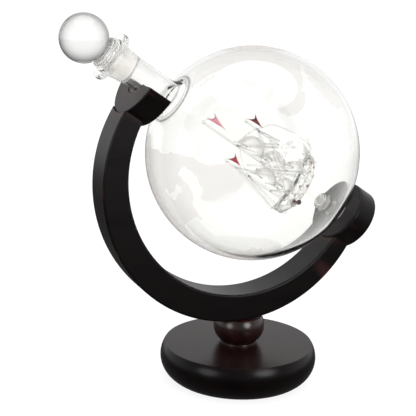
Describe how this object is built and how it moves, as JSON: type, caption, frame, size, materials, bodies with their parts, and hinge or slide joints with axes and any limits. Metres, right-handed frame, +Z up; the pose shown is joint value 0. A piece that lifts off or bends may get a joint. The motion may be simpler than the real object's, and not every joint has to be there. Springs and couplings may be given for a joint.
{
  "type": "globe decanter on a stand",
  "caption": "Clear globe decanter with a glass ship inside and a ball stopper, its tilted neck in a saddle on a dark wooden crescent stand with a round base.",
  "frame": {"origin": "centre of the base's underside", "axes": "+X from the neck side towards the socket at the south pole, +Y away from the front, +Z up; the globe's axis lies in the XZ plane, 33.5 degrees below +X"},
  "size_m": [0.1987, 0.126, 0.2198],
  "materials": {
    "dark_wood": "semi-gloss dark mahogany lacquer",
    "dowel_wood": "bare beech",
    "felt": "dark felt",
    "steel": "zinc-plated steel",
    "brass": "machined brass",
    "silicone": "milky silicone",
    "clear_glass": "clear borosilicate glass, with an etched map on the globe",
    "ground_glass": "ground glass",
    "red_glass": "red glass",
    "pink_glass": "pink glass"
  },
  "bodies": {
    "stand": {"base_disc": "dark_wood", "base_felt": "felt", "ball_post": "dark_wood", "stand_arc": "dark_wood", "neck_saddle": "dark_wood", "saddle_liner": "felt", "pole_socket": "dark_wood", "saddle_dowels": "dowel_wood", "socket_dowels": "dowel_wood", "stand_bolt": "steel", "bolt_washer": "steel", "threaded_insert": "brass"},
    "sleeve": {"pin_sleeve": "silicone"},
    "globe": {"globe_shell": "clear_glass", "neck_tube": "clear_glass", "mouth_flange": "clear_glass", "pole_pin": "clear_glass", "ship_hull": "clear_glass", "portholes": "red_glass", "bowsprit": "clear_glass", "rigging": "clear_glass", "support_rod": "clear_glass", "support_foot": "clear_glass", "fore_mast": "clear_glass", "fore_yards": "clear_glass", "fore_sails": "clear_glass", "fore_pennant": "red_glass", "main_mast": "clear_glass", "main_yards": "clear_glass", "main_sails": "clear_glass", "main_pennant": "pink_glass", "mizzen_mast": "clear_glass", "mizzen_yards": "clear_glass", "mizzen_sails": "clear_glass", "mizzen_pennant": "red_glass"},
    "stopper": {"stopper_ball": "clear_glass", "stopper_plug": "ground_glass"}
  },
  "joints": [
    {"name": "globe_lift", "type": "slide", "parent": "stand", "child": "sleeve", "axis": [0.1478, 0, 0.989], "range_m": [0, 0.115]},
    {"name": "globe_spin", "type": "hinge", "parent": "sleeve", "child": "globe", "pos_m": [0.0045, 0, 0.1383], "axis": [0.8339, 0, -0.5519], "continuous": true},
    {"name": "stopper_pull", "type": "slide", "parent": "globe", "child": "stopper", "axis": [-0.8339, 0, 0.5519], "range_m": [0, 0.04]}
  ]
}
